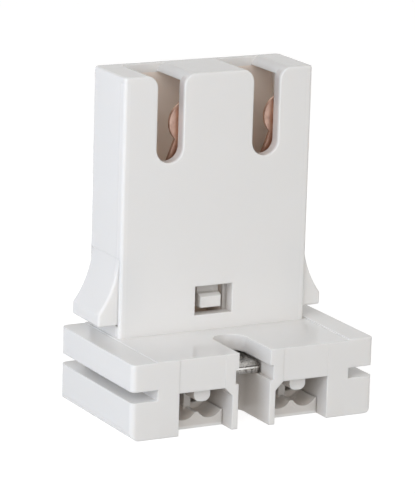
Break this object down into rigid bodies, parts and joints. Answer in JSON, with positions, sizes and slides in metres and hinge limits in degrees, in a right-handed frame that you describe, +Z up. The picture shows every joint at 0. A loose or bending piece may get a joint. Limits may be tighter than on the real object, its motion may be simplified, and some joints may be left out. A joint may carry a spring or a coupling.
{
  "type": "fluorescent tube lamp holder",
  "caption": "Tall white slot-entry lamp holder for a bi-pin fluorescent tube, with snap wings, side grooves, a screw notch with a captive nut, and push-in wire pockets.",
  "frame": {"origin": "middle of the base's underside", "axes": "+Z up through the tower, the front face with the slots and the window looks towards -Y, +X runs from the left slot to the right slot"},
  "size_m": [0.032, 0.0192, 0.0404],
  "materials": {
    "housing_plastic": "glossy white moulding",
    "insert_plastic": "satin white moulding",
    "contact_bronze": "bare stamped phosphor bronze",
    "nut_steel": "rough zinc plating"
  },
  "bodies": {
    "root": {"housing": "housing_plastic", "contact_carrier": "insert_plastic", "contact_left": "contact_bronze", "contact_right": "contact_bronze", "captive_nut": "nut_steel"}
  },
  "joints": []
}
